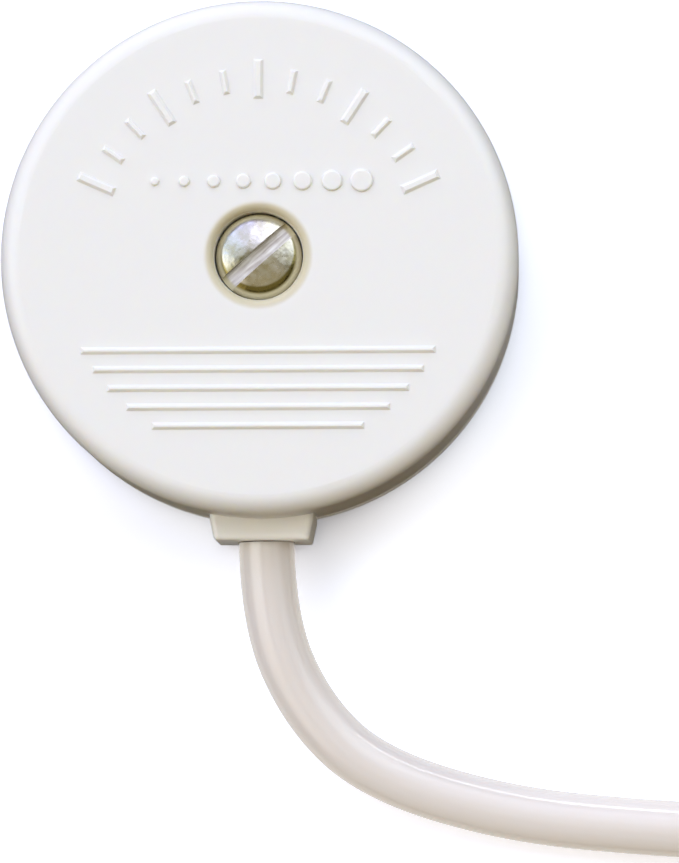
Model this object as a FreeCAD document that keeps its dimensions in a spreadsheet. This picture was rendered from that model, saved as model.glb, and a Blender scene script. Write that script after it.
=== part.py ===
"""A round stick-on glass break sensor with a lead: a moulded base and cover held by one centre screw,
with a weighted leaf contact inside.

Millimetres. The sensor lies on its back: +Z points out of its face, and the lead leaves towards -Y.
The origin is the middle of the adhesive pad's back, which is the face that meets the glass.
"""

import FreeCAD, Part
import math
import os
from types import SimpleNamespace

import Sketcher

Vector = FreeCAD.Vector

# Driving dimensions: alias, value, what it is
SIZES = [
    ("PuckDiameter", 41.3, "outside diameter of base and cover"),
    ("TotalHeight", 12.7, "from the back of the pad to the face"),
    ("PadDiameter", 38.0, "adhesive foam pad"),
    ("PadThickness", 0.8, "adhesive foam pad"),
    ("FlangeThickness", 2.0, "rim of the base under the cover's skirt"),
    ("FloorThickness", 1.4, "base inside the spigot"),
    ("SpigotWall", 1.2, "ring of the base that centres the cover"),
    ("SpigotHeight", 2.0, "above the flange"),
    ("SpigotClearance", 0.15, "between the spigot and the skirt"),
    ("PartingChamfer", 0.2, "on both edges of the parting line"),
    ("PostDiameter", 8.4, "centre post that takes the screw"),
    ("CoverWall", 1.6, "skirt of the cover"),
    ("CoverTop", 2.0, "face of the cover"),
    ("CoverEdgeRadius", 1.6, "rounded rim of the face"),
    ("CeilingFillet", 0.8, "inside corner under the rim"),
    ("RecessClearance", 0.12, "round the screw head, in its counterbore"),
    ("RecessDepth", 2.6, "from the face to the screw seat"),
    ("RecessLip", 0.63, "rounded edge of the counterbore"),
    ("SeatThickness", 1.4, "cover under the screw head"),
    ("BossWall", 3.3, "cover boss round its screw hole"),
    ("ScrewHeadDiameter", 6.86, "number 6 pan head"),
    ("ScrewHeadHeight", 2.2, "number 6 pan head"),
    ("ScrewHeadCrown", 10.5, "radius of the pan head's domed top"),
    ("ScrewHeadRound", 0.9, "rounded edge of the pan head"),
    ("ScrewShankDiameter", 3.5, "number 6 thread, over its crests"),
    ("ScrewHoleClearance", 0.2, "round the shank, in the cover"),
    ("ThreadClearance", 0.05, "round the shank, in the insert"),
    ("ScrewEnd", 0.6, "chamfer at the end of the shank"),
    ("SlotWidth", 1.25, "driver slot"),
    ("SlotDepth", 1.1, "driver slot"),
    ("SlotAngle", 41.4, "the slot's direction from +X, in degrees"),
    ("InsertDiameter", 5.4, "brass insert"),
    ("InsertLength", 5.0, "brass insert"),
    ("InsertGroove", 0.3, "depth of the groove round the insert"),
    ("ScrewStop", 0.4, "how far the shank ends short of the insert's end"),
    ("NeckHeight", 7.2, "lead neck, from the back of the base"),
    ("NeckRootWidth", 8.3, "lead neck at the rim"),
    ("NeckTipWidth", 7.6, "lead neck at its tip"),
    ("NeckReach", 1.65, "lead neck beyond the rim"),
    ("NeckInside", 4.45, "lead neck inside the rim"),
    ("NeckRound", 0.5, "rounded upper edges of the neck"),
    ("NeckCorner", 0.25, "rounded upright corners of the neck's tip"),
    ("NeckClearance", 0.12, "between the neck and the cover's notch"),
    ("LeadDiameter", 4.5, "over the jacket"),
    ("LeadShift", 0.25, "the lead's place to the right of the neck's middle"),
    ("BoreClearance", 0.1, "round the jacket in the neck"),
    ("JacketInside", 3.2, "jacket beyond the neck's inner end"),
    ("WireDiameter", 1.7, "insulated wire inside the jacket"),
    ("WireSpacing", 0.9, "each wire's place from the middle of the jacket"),
    ("WireRun", 2.8, "wire straight out of the jacket"),
    ("WireClearance", 2.0, "between the wires' bend and the centre post"),
    ("WireBend", 22.0, "the wires' bend from the sensor's middle line, in degrees"),
    ("WireStrip", 0.4, "between a wire's insulation and its pin"),
    ("TieWidth", 2.4, "inner cable tie"),
    ("TieThickness", 0.8, "inner cable tie"),
    ("TieHead", 4.0, "width of the inner cable tie's head"),
    ("TieHeadHeight", 2.0, "head of the inner cable tie"),
    ("BoardStandoff", 2.2, "posts under the board"),
    ("BoardThickness", 1.2, "contact board"),
    ("BoardMargin", 0.7, "between the board and the spigot"),
    ("BoardHoleMargin", 0.8, "between the board and the centre post"),
    ("BoardFront", 3.0, "the board's straight edge, behind the middle of the post"),
    ("BoardScrewInset", 3.5, "board screws inside the board's edge, along X"),
    ("BoardScrewLine", 3.5, "the board screws' line, along Y"),
    ("BoardScrewHead", 3.4, "head diameter"),
    ("BoardScrewHeadHeight", 1.2, "head height"),
    ("BoardScrewShank", 1.8, "shank diameter"),
    ("BoardScrewBite", 2.8, "shank below the board"),
    ("BoardPostDiameter", 4.2, "posts under the board"),
    ("PinInset", 6.7, "solder pins inside the board's edge, along X"),
    ("PinLine", 1.0, "the pins' line, in front of the middle"),
    ("PinDiameter", 1.0, "solder pin"),
    ("PinBelow", 0.8, "solder pin under the board"),
    ("PinAbove", 3.4, "solder pin over the board"),
    ("WireLevel", 2.8, "the soldered wire ends over the board"),
    ("SolderDiameter", 2.4, "solder round a pin and its wire"),
    ("LeafInset", 7.5, "the leaf's line inside the board's edge, along Y"),
    ("LeafWidth", 3.5, "contact leaf"),
    ("LeafThickness", 0.2, "contact leaf"),
    ("TailWidth", 1.8, "the leaf's and the strip's arms to their pins"),
    ("TailEnd", 1.2, "the arms beyond their pins"),
    ("ContactPlace", 6.5, "the contacts' place to the right of the middle"),
    ("StripThickness", 0.25, "fixed contact strip"),
    ("StripEnd", 1.5, "the strip beyond the contact"),
    ("FixedHeadDiameter", 2.4, "fixed contact"),
    ("FixedHeadHeight", 0.35, "fixed contact"),
    ("MovingHeadDiameter", 2.0, "moving contact"),
    ("MovingHeadHeight", 0.6, "moving contact"),
    ("ContactStem", 1.0, "stem diameter of both contacts"),
    ("StemInWeight", 1.0, "the moving contact's stem inside the weight"),
    ("WeightDiameter", 5.0, "inertia weight"),
    ("WeightHeight", 1.8, "inertia weight"),
    ("WeightChamfer", 0.3, "inertia weight"),
    ("AnchorLength", 6.2, "spacer and clamp plate along the leaf"),
    ("AnchorWidth", 4.4, "spacer and clamp plate across the leaf"),
    ("ClampThickness", 0.6, "clamp plate"),
    ("RivetDiameter", 1.2, "leaf rivets"),
    ("RivetHead", 2.2, "head diameter of the leaf rivets"),
    ("RivetHeadHeight", 0.4, "head height of the leaf rivets"),
    ("RivetPitch", 2.8, "between the leaf rivets"),
    ("CoilRadius", 22.5, "put-away coil, at the middle of its turns"),
    ("CoilSlack", 0.3, "room between the coil's turns"),
    ("CoilChamfer", 1.3, "the coil's edges, where its outer turns are round"),
    ("CoilLeaveAngle", 60.0, "where the lead's end turns out of the coil, in degrees"),
    ("CoilLeaveRadius", 14.0, "bend of the lead's end inside the coil"),
    ("CoilLeaveTurn", 120.0, "turn of that bend, in degrees"),
    ("CoilStubMargin", 0.3, "straight lead beside the coil"),
    ("CoilTieAngle", 38.0, "the coil tie's place round the coil, in degrees"),
    ("CoilTieWidth", 3.6, "coil tie"),
    ("CoilTieThickness", 0.6, "coil tie"),
    ("CoilTieHead", 5.0, "width of the coil tie's head"),
    ("CoilTieHeadHeight", 3.0, "head of the coil tie"),
    ("TipDiameter", 0.8, "stripped copper end of a wire"),
    ("TipLength", 7.0, "stripped copper end of a wire"),
    ("ReliefHeight", 0.22, "raised marks on the face"),
    ("ReliefDraft", 45.0, "slope of the raised marks' sides, in degrees"),
    ("ScaleRadius", 14.1, "middle of the scale's marks from the screw"),
    ("ScaleStart", 24.0, "first mark of the scale, in degrees from +X"),
    ("ScaleExtent", 132.0, "the scale's whole angle, in degrees"),
    ("ScaleMarkLength", 2.0, "short mark"),
    ("ScaleMarkWidth", 0.6, "short mark"),
    ("LongMarkLength", 3.2, "long mark"),
    ("LongMarkWidth", 0.8, "long mark"),
    ("PipLine", 5.9, "the row of pips above the screw"),
    ("PipPitch", 2.35, "between pips"),
    ("PipDiameter", 0.7, "smallest pip"),
    ("PipGrowth", 0.16, "each pip's diameter over the last"),
    ("PipRound", 0.18, "rounded rim of each pip"),
    ("RibLine", 7.6, "first grip rib below the screw"),
    ("RibPitch", 1.5, "between grip ribs"),
    ("RibWidth", 0.6, "grip rib"),
    ("RibCircle", 32.0, "circle that the grip ribs' ends lie on"),
]

# How many of each repeated mark
SCALE_MARKS = 13
LONG_MARKS = 5
PIPS = 8
RIBS = 5

# The free lead's route after its exit, as steps along X and Y from the exit, and its height
# over the lead's resting height as a share of the exit's own
LEAD_ROUTE = [
    (0.0, 0.0, 1.0),
    (0.0, -6.0, 1.0),
    (2.15, -12.7, 0.5),
    (7.05, -18.2, 0.0),
    (14.25, -21.3, 0.0),
    (27.75, -22.9, 0.0),
    (41.25, -23.3, 0.0),
    (47.75, -23.3, 0.0),
]

# The wire tails beyond the jacket's end, as steps along and across the lead's last direction,
# and whether the wire is still at the jacket's height
RED_TAIL = [(0.0, 1.0, 1), (3.6, 1.0, 1), (8.5, 3.0, 0), (11.6, 7.6, 0), (12.6, 13.2, 0)]
BLACK_TAIL = [(0.0, -1.0, 1), (4.2, -1.0, 1), (9.9, -0.4, 0), (14.9, 2.0, 0), (17.7, 6.8, 0)]

ARC_SHARE = 0.45  # how much of the shorter run an arc of a tube takes up
NEARLY = 0.001  # how far a found edge may lie from where it is looked for


class Size:
    """A size that knows its value and the spreadsheet expression that keeps it."""

    def __init__(self, value, text=None):
        self.value = float(value)
        self.text = text if text is not None else repr(float(value))

    def join(self, other, sign, value):
        return Size(value, f"({self.text} {sign} {other.text})")

    def __add__(self, other):
        other = as_size(other)
        return self.join(other, "+", self.value + other.value)

    def __sub__(self, other):
        other = as_size(other)
        return self.join(other, "-", self.value - other.value)

    def __mul__(self, other):
        other = as_size(other)
        return self.join(other, "*", self.value * other.value)

    def __truediv__(self, other):
        other = as_size(other)
        return self.join(other, "/", self.value / other.value)

    def __neg__(self):
        return Size(-self.value, f"(-{self.text})")

    def chord(self, away):
        """Half the chord of a circle of this radius, at a distance from its middle."""
        half = math.sqrt(self.value**2 - away.value**2)
        return Size(half, f"sqrt({self.text} ^ 2 - {away.text} ^ 2)")


def as_size(value):
    return value if isinstance(value, Size) else Size(value)


ZERO = Size(0)

doc = FreeCAD.newDocument("GlassBreakSensor")
sheet = doc.addObject("Spreadsheet::Sheet", "Sizes")
for row, (alias, value, meaning) in enumerate(SIZES, start=1):
    sheet.set(f"A{row}", meaning)
    sheet.set(f"B{row}", str(value))
    sheet.setAlias(f"B{row}", alias)
doc.recompute()
dim = SimpleNamespace(**{alias: Size(getattr(sheet, alias), f"Sizes.{alias}") for alias, _, _ in SIZES})

# Heights over the glass
z_base = dim.PadThickness
z_floor = z_base + dim.FloorThickness
z_parting = z_base + dim.FlangeThickness
z_face = dim.TotalHeight
z_seat = z_face - dim.RecessDepth
z_post = z_seat - dim.SeatThickness
z_ceiling = z_face - dim.CoverTop
z_insert = z_post - dim.InsertLength
z_neck = z_base + dim.NeckHeight
z_lead = z_base + dim.NeckHeight / 2
z_board = z_floor + dim.BoardStandoff
z_board_top = z_board + dim.BoardThickness
z_strip_top = z_board_top + dim.StripThickness
z_contact = z_strip_top + dim.FixedHeadHeight
z_leaf = z_contact + dim.MovingHeadHeight
z_leaf_top = z_leaf + dim.LeafThickness
z_clamp_top = z_leaf_top + dim.ClampThickness
z_wire = z_board_top + dim.WireLevel

# Radii and places
r_puck = dim.PuckDiameter / 2
r_cavity = r_puck - dim.CoverWall
r_spigot = r_cavity - dim.SpigotClearance
r_spigot_inside = r_spigot - dim.SpigotWall
r_post = dim.PostDiameter / 2
r_insert = dim.InsertDiameter / 2
r_shank = dim.ScrewShankDiameter / 2
r_screw_hole = r_shank + dim.ScrewHoleClearance
r_head = dim.ScrewHeadDiameter / 2
r_recess = r_head + dim.RecessClearance
r_boss = r_screw_hole + dim.BossWall
r_lead = dim.LeadDiameter / 2
r_bore = r_lead + dim.BoreClearance
r_tie = r_lead + dim.TieThickness
r_board = r_spigot_inside - dim.BoardMargin
r_board_hole = r_post + dim.BoardHoleMargin
y_tip = r_puck + dim.NeckReach
y_neck_inside = r_puck - dim.NeckInside
y_jacket_end = y_neck_inside - dim.JacketInside
x_board_screw = r_board - dim.BoardScrewInset
x_pin = r_board - dim.PinInset
y_leaf = r_board - dim.LeafInset
x_anchor = x_pin + dim.TailWidth / 2


def bind(item, **sizes):
    """Sets each property to its size, and keeps it on the spreadsheet."""
    for name, value in sizes.items():
        setattr(item, name, as_size(value).value)
        if isinstance(value, Size):
            item.setExpression(name, value.text)


def place(item, x=ZERO, y=ZERO, z=ZERO, angle=None):
    """Puts an object at a bound place, turned about its own vertical axis."""
    turn = FreeCAD.Rotation(Vector(0, 0, 1), angle.value if angle else 0)
    item.Placement = FreeCAD.Placement(Vector(x.value, y.value, z.value), turn)
    for axis, value in zip("xyz", (x, y, z)):
        item.setExpression(f"Placement.Base.{axis}", value.text)
    if angle:
        item.setExpression("Placement.Rotation.Angle", angle.text)


def new_body(name):
    body = doc.addObject("PartDesign::Body", name)
    body.Label = name
    return body


def sketch_on(body, name, role, lift=ZERO, angle=None):
    """An empty sketch on one of the body's own planes, raised along the plane's normal."""
    plane = [item for item in body.Origin.OriginFeatures if item.Role == role][0]
    sketch = body.newObject("Sketcher::SketchObject", name)
    sketch.AttachmentSupport = [(plane, "")]
    sketch.MapMode = "FlatFace"
    turn = FreeCAD.Rotation(Vector(0, 0, 1), angle.value if angle else 0)
    sketch.AttachmentOffset = FreeCAD.Placement(Vector(0, 0, lift.value), turn)
    sketch.setExpression("AttachmentOffset.Base.z", lift.text)
    if angle:
        sketch.setExpression("AttachmentOffset.Rotation.Angle", angle.text)
    return sketch


def fix_point(sketch, geometry, point, x, y):
    """Holds one point of a sketch at a bound distance from the sketch's origin."""
    for kind, value in (("DistanceX", x), ("DistanceY", y)):
        index = sketch.addConstraint(
            Sketcher.Constraint(kind, -1, 1, geometry, point, value.value)
        )
        if value.text != ZERO.text:
            sketch.setExpression(f"Constraints[{index}]", value.text)


def outline(sketch, points):
    """A closed outline through bound points, listed with the inside on their left. The side after
    a point is straight, or an arc that bulges outwards where the point has a radius too."""
    corners = [(as_size(x), as_size(y), *radius) for x, y, *radius in points]
    first = sketch.GeometryCount
    count = len(corners)
    for k, (x, y, *radius) in enumerate(corners):
        onward_x, onward_y, *_ = corners[(k + 1) % count]
        start = Vector(x.value, y.value, 0)
        end = Vector(onward_x.value, onward_y.value, 0)
        sketch.addGeometry(bulge(start, end, radius[0].value) if radius else Part.LineSegment(start, end))
    for k in range(count):
        sketch.addConstraint(
            Sketcher.Constraint("Coincident", first + k, 2, first + (k + 1) % count, 1)
        )
    for k, (x, y, *radius) in enumerate(corners):
        fix_point(sketch, first + k, 1, x, y)
        if radius:
            hold_radius(sketch, first + k, radius[0])


def bulge(start, end, radius):
    """An arc from start to end with its middle on the left of the way."""
    half = (end - start) / 2
    away = math.sqrt(radius**2 - half.Length**2)
    middle = start + half + Vector(-half.y, half.x, 0).normalize() * away
    low = start - middle
    high = end - middle
    round_line = Part.Circle(middle, Vector(0, 0, 1), radius)
    return Part.ArcOfCircle(round_line, math.atan2(low.y, low.x), math.atan2(high.y, high.x))


def hold_radius(sketch, geometry, radius):
    index = sketch.addConstraint(Sketcher.Constraint("Radius", geometry, radius.value))
    sketch.setExpression(f"Constraints[{index}]", radius.text)


def rectangle(sketch, x_low, y_low, x_high, y_high):
    outline(sketch, [(x_low, y_low), (x_high, y_low), (x_high, y_high), (x_low, y_high)])


def circle(sketch, x, y, radius):
    shape = Part.Circle(Vector(x.value, y.value, 0), Vector(0, 0, 1), radius.value)
    index = sketch.addGeometry(shape)
    fix_point(sketch, index, 3, x, y)
    hold_radius(sketch, index, radius)


def revolve(body, name, points):
    """Turns a bound half section about the body's vertical axis."""
    sketch = sketch_on(body, name + "_section", "XZ_Plane")
    outline(sketch, points)
    doc.recompute()
    feature = body.newObject("PartDesign::Revolution", name)
    feature.Profile = sketch
    feature.ReferenceAxis = (sketch, ["V_Axis"])
    feature.Angle = 360
    doc.recompute()
    return feature


def pad(body, name, sketch, length, draft=None):
    feature = body.newObject("PartDesign::Pad", name)
    feature.Profile = sketch
    bind(feature, Length=length)
    if draft:
        bind(feature, TaperAngle=draft)
    doc.recompute()
    return feature


def pocket(body, name, sketch, length):
    """Cuts a sketch's outline away behind it, and makes sure that it met the solid."""
    before = body.Shape.Volume
    feature = body.newObject("PartDesign::Pocket", name)
    feature.Profile = sketch
    bind(feature, Length=length)
    doc.recompute()
    if body.Shape.Volume >= before:
        raise RuntimeError(f"{name} cuts nothing")
    return feature


def ring_edge(feature, radius, height):
    """The names of a feature's round edges of one radius at one height. A dome's pole is an edge
    with no curve, and is passed over."""
    return [
        f"Edge{k}"
        for k, edge in enumerate(feature.Shape.Edges, start=1)
        if not edge.Degenerated
        and isinstance(edge.Curve, Part.Circle)
        and abs(edge.Curve.Radius - radius.value) < NEARLY
        and abs(edge.Curve.Center.z - height.value) < NEARLY
    ]


def edges_in(feature, *spans):
    """The names of a feature's edges whose ends lie inside the spans of x, y and z."""
    low = Vector(*[span[0].value for span in spans])
    high = Vector(*[span[1].value for span in spans])
    box = FreeCAD.BoundBox(low, high)
    box.enlarge(NEARLY)
    return [
        f"Edge{k}"
        for k, edge in enumerate(feature.Shape.Edges, start=1)
        if all(box.isInside(vertex.Point) for vertex in edge.Vertexes)
    ]


def dress(body, kind, name, base, edges, size):
    """A fillet or chamfer on named edges of the feature before it."""
    if not edges:
        raise RuntimeError(f"{name} has no edge")
    feature = body.newObject("PartDesign::" + kind, name)
    feature.Base = (base, edges)
    bind(feature, **{"Radius" if kind == "Fillet" else "Size": size})
    doc.recompute()
    return feature


def cylinder(name, radius, height, x=ZERO, y=ZERO, z=ZERO):
    item = doc.addObject("Part::Cylinder", name)
    bind(item, Radius=radius, Height=height)
    place(item, x, y, z)
    return item


def fuse(name, *items):
    item = doc.addObject("Part::MultiFuse", name)
    item.Shapes = list(items)
    return item


def cut(name, base, *tools):
    """One solid less others, one after another."""
    for k, tool in enumerate(tools, start=1):
        item = doc.addObject("Part::Cut", name if k == len(tools) else f"{name}_cut_{k}")
        item.Base = base
        item.Tool = tool
        base = item
    return base


def group(name, *items):
    item = doc.addObject("Part::Compound", name)
    item.Links = list(items)
    return item


def tube(name, points, radius):
    """A round tube along straight runs joined by tangent arcs, as large as the runs allow."""
    edges = []
    here = points[0]
    radii = []
    for before, corner, after in zip(points, points[1:], points[2:]):
        back = before - corner
        onward = after - corner
        taken = ARC_SHARE * min(back.Length, onward.Length)
        back.normalize()
        onward.normalize()
        half_turn = (math.pi - back.getAngle(onward)) / 2
        bend = taken / math.tan(half_turn)
        inward = (back + onward).normalize()
        start = corner + back * taken
        middle = corner + inward * (bend / math.cos(half_turn) - bend)
        end = corner + onward * taken
        edges.append(Part.LineSegment(here, start).toShape())
        edges.append(Part.Arc(start, middle, end).toShape())
        here = end
        radii.append(bend)
    edges.append(Part.LineSegment(here, points[-1]).toShape())
    path = Part.Wire(edges)
    section = Part.Wire(Part.Circle(points[0], points[1] - points[0], radius).toShape())
    solid = path.makePipeShell([section], True, True)
    if solid.Volume < 0:
        solid.reverse()
    share = solid.Volume / (math.pi * radius**2 * path.Length)
    print(f"{name}: {path.Length:.1f} mm long, radii", [round(bend, 1) for bend in radii],
          f"volume over section by length {share:.4f}")
    item = doc.addObject("Part::Feature", name)
    item.Label = name
    item.Shape = solid
    return item


def make_base():
    body = new_body("base")
    turned = revolve(body, "base_turned", [
        (ZERO, z_base),
        (r_puck, z_base),
        (r_puck, z_parting),
        (r_spigot, z_parting),
        (r_spigot, z_parting + dim.SpigotHeight),
        (r_spigot_inside, z_parting + dim.SpigotHeight),
        (r_spigot_inside, z_floor),
        (r_post, z_floor),
        (r_post, z_post),
        (r_insert, z_post),
        (r_insert, z_insert),
        (r_shank, z_insert),
        (r_shank, z_insert - dim.ScrewStop),
        (ZERO, z_insert - dim.ScrewStop),
    ])
    rim = ring_edge(turned, r_puck, z_base) + ring_edge(turned, r_puck, z_parting)
    dress(body, "Chamfer", "base_rim_chamfer", turned, rim, dim.PartingChamfer)

    plan = sketch_on(body, "neck_plan", "XY_Plane", z_base)
    root = dim.NeckRootWidth / 2
    tip = dim.NeckTipWidth / 2
    outline(plan, [
        (-root, -y_neck_inside),
        (-root, -r_puck),
        (-tip, -y_tip),
        (tip, -y_tip),
        (root, -r_puck),
        (root, -y_neck_inside),
    ])
    neck = pad(body, "neck", plan, dim.NeckHeight)
    front = edges_in(neck, (-tip, tip), (-y_tip, -y_tip), (z_base, z_neck))
    foot = edges_in(neck, (-tip, tip), (-y_tip, -y_tip), (z_base, z_base))
    front_top = edges_in(neck, (-tip, tip), (-y_tip, -y_tip), (z_neck, z_neck))
    corners = sorted(set(front) - set(foot) - set(front_top))
    tip_corners = dress(body, "Fillet", "neck_corners", neck, corners, dim.NeckCorner)
    top = edges_in(tip_corners, (-root, root), (-y_tip, -y_neck_inside), (z_neck, z_neck))
    dress(body, "Fillet", "neck_round", tip_corners, top, dim.NeckRound)

    room = Size(1)
    hole = sketch_on(body, "lead_bore_circle", "XZ_Plane", y_tip + room)
    circle(hole, dim.LeadShift, z_lead, r_bore)
    pocket(body, "lead_bore", hole, y_tip + room - y_jacket_end)
    hole = sketch_on(body, "tie_groove_circle", "XZ_Plane", y_neck_inside)
    circle(hole, dim.LeadShift, z_lead, r_tie + dim.BoreClearance)
    pocket(body, "tie_groove", hole, dim.TieWidth + dim.BoreClearance)

    posts = sketch_on(body, "board_post_circles", "XY_Plane", z_floor)
    for side in (-1, 1):
        circle(posts, x_board_screw * side, dim.BoardScrewLine, dim.BoardPostDiameter / 2)
    pad(body, "board_posts", posts, dim.BoardStandoff)
    pilots = sketch_on(body, "board_pilot_circles", "XY_Plane", z_board)
    for side in (-1, 1):
        circle(pilots, x_board_screw * side, dim.BoardScrewLine, dim.BoardScrewShank / 2)
    pocket(body, "board_pilots", pilots, dim.BoardScrewBite)
    return body


def make_cover():
    body = new_body("cover")
    turned = revolve(body, "cover_turned", [
        (r_screw_hole, z_seat),
        (r_recess, z_seat),
        (r_recess, z_face),
        (r_puck, z_face),
        (r_puck, z_parting),
        (r_cavity, z_parting),
        (r_cavity, z_ceiling),
        (r_boss, z_ceiling),
        (r_boss, z_post),
        (r_screw_hole, z_post),
    ])
    rim = dress(body, "Fillet", "rim_round", turned, ring_edge(turned, r_puck, z_face),
                dim.CoverEdgeRadius)
    lip = dress(body, "Fillet", "recess_lip", rim, ring_edge(rim, r_recess, z_face), dim.RecessLip)
    inside = ring_edge(lip, r_cavity, z_ceiling)
    inside = dress(body, "Fillet", "ceiling_fillet", lip, inside, dim.CeilingFillet)
    dress(body, "Chamfer", "skirt_chamfer", inside, ring_edge(inside, r_puck, z_parting),
          dim.PartingChamfer)

    room = Size(1)
    half = dim.NeckRootWidth / 2 + dim.NeckClearance
    notch = sketch_on(body, "neck_notch_outline", "XZ_Plane", r_puck + room)
    rectangle(notch, -half, z_parting - room, half, z_neck + dim.NeckClearance)
    pocket(body, "neck_notch", notch, dim.CoverWall + room + room)

    make_scale(body, "scale_mark", SCALE_MARKS, dim.ScaleMarkLength, dim.ScaleMarkWidth)
    make_scale(body, "long_mark", LONG_MARKS, dim.LongMarkLength, dim.LongMarkWidth)

    pips = sketch_on(body, "pip_circles", "XY_Plane", z_face)
    radii = [(dim.PipDiameter + dim.PipGrowth * k) / 2 for k in range(PIPS)]
    for k, radius in enumerate(radii):
        circle(pips, dim.PipPitch * (k - (PIPS - 1) / 2), dim.PipLine, radius)
    raised = pad(body, "pips", pips, dim.ReliefHeight)
    rims = [name for radius in radii for name in ring_edge(raised, radius, z_face + dim.ReliefHeight)]
    dress(body, "Fillet", "pip_rounds", raised, rims, dim.PipRound)

    ribs = sketch_on(body, "rib_outlines", "XY_Plane", z_face)
    for k in range(RIBS):
        middle = dim.RibLine + dim.RibPitch * k
        half_long = (dim.RibCircle / 2).chord(middle)
        half_wide = dim.RibWidth / 2
        rectangle(ribs, -half_long, -middle - half_wide, half_long, -middle + half_wide)
    pad(body, "grip_ribs", ribs, dim.ReliefHeight, -dim.ReliefDraft)
    return body


def make_scale(body, name, count, length, width):
    """Raised radial marks round the upper half of the face."""
    sketch = sketch_on(body, name + "_outline", "XY_Plane", z_face, dim.ScaleStart)
    rectangle(sketch, dim.ScaleRadius - length / 2, -width / 2, dim.ScaleRadius + length / 2, width / 2)
    first = pad(body, name, sketch, dim.ReliefHeight, -dim.ReliefDraft)
    pattern = body.newObject("PartDesign::PolarPattern", name + "s")
    pattern.Originals = [first]
    pattern.Axis = (sketch, ["N_Axis"])
    pattern.Occurrences = count
    bind(pattern, Angle=dim.ScaleExtent)
    body.Tip = pattern
    doc.recompute()


def make_cover_screw():
    body = new_body("cover_screw")
    end = z_insert + dim.ScrewStop
    z_top = z_seat + dim.ScrewHeadHeight
    z_edge = z_top - dim.ScrewHeadCrown + dim.ScrewHeadCrown.chord(r_head)
    turned = revolve(body, "screw_turned", [
        (ZERO, end),
        (r_shank - dim.ScrewEnd, end),
        (r_shank, end + dim.ScrewEnd),
        (r_shank, z_seat),
        (r_head, z_seat),
        (r_head, z_edge, dim.ScrewHeadCrown),
        (ZERO, z_top),
    ])
    dress(body, "Fillet", "head_round", turned, ring_edge(turned, r_head, z_edge), dim.ScrewHeadRound)
    slot = sketch_on(body, "slot_outline", "XY_Plane", z_top)
    rectangle(slot, -dim.ScrewHeadDiameter, -dim.SlotWidth / 2, dim.ScrewHeadDiameter, dim.SlotWidth / 2)
    pocket(body, "slot", slot, dim.SlotDepth)
    place(body, angle=dim.SlotAngle)
    return body


def make_threaded_insert():
    body = new_body("threaded_insert")
    inside = r_shank + dim.ThreadClearance
    waist = r_insert - dim.InsertGroove
    third = dim.InsertLength / 3
    revolve(body, "insert_turned", [
        (inside, z_insert),
        (r_insert, z_insert),
        (r_insert, z_insert + third),
        (waist, z_insert + third),
        (waist, z_post - third),
        (r_insert, z_post - third),
        (r_insert, z_post),
        (inside, z_post),
    ])
    return body


def make_adhesive_pad():
    item = cylinder("adhesive_pad", dim.PadDiameter / 2, dim.PadThickness)
    return item


def make_contact_board():
    body = new_body("contact_board")
    plan = sketch_on(body, "board_plan", "XY_Plane", z_board)
    circle(plan, ZERO, ZERO, r_board)
    circle(plan, ZERO, ZERO, r_board_hole)
    pad(body, "board_ring", plan, dim.BoardThickness)
    room = Size(1)
    front = sketch_on(body, "board_front_outline", "XY_Plane", z_board_top)
    rectangle(front, -r_board - room, -r_board - room, r_board + room, -dim.BoardFront)
    pocket(body, "board_front", front, dim.BoardThickness)
    holes = sketch_on(body, "board_hole_circles", "XY_Plane", z_board_top)
    for side in (-1, 1):
        circle(holes, x_board_screw * side, dim.BoardScrewLine, dim.BoardScrewShank / 2)
        circle(holes, x_pin * side, -dim.PinLine, dim.PinDiameter / 2)
    circle(holes, dim.ContactPlace, y_leaf, dim.ContactStem / 2)
    for x in rivet_places():
        circle(holes, x, y_leaf, dim.RivetDiameter / 2)
    pocket(body, "board_holes", holes, dim.BoardThickness)
    return body


def rivet_places():
    middle = dim.AnchorLength / 2 - x_anchor
    return [middle - dim.RivetPitch / 2, middle + dim.RivetPitch / 2]


def make_board_screws():
    screws = []
    for side, name in ((-1, "left"), (1, "right")):
        x = x_board_screw * side
        shank = cylinder(f"board_screw_shank_{name}", dim.BoardScrewShank / 2,
                         dim.BoardScrewBite + dim.BoardThickness,
                         x, dim.BoardScrewLine, z_board - dim.BoardScrewBite)
        head = cylinder(f"board_screw_head_{name}", dim.BoardScrewHead / 2, dim.BoardScrewHeadHeight,
                        x, dim.BoardScrewLine, z_board_top)
        screws.append(fuse(f"board_screw_{name}", shank, head))
    return group("board_screws", *screws)


def make_leaf_spacer():
    body = new_body("leaf_spacer")
    plan = sketch_on(body, "spacer_plan", "XY_Plane", z_board_top)
    anchor_outline(plan)
    pad(body, "spacer", plan, z_leaf - z_board_top)
    return body


def make_leaf_clamp():
    body = new_body("leaf_clamp")
    plan = sketch_on(body, "clamp_plan", "XY_Plane", z_leaf_top)
    anchor_outline(plan)
    pad(body, "clamp", plan, dim.ClampThickness)
    return body


def anchor_outline(sketch):
    """The rectangle of the leaf's anchor, with its two rivet holes."""
    half = dim.AnchorWidth / 2
    rectangle(sketch, -x_anchor, y_leaf - half, dim.AnchorLength - x_anchor, y_leaf + half)
    for x in rivet_places():
        circle(sketch, x, y_leaf, dim.RivetDiameter / 2)


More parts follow.
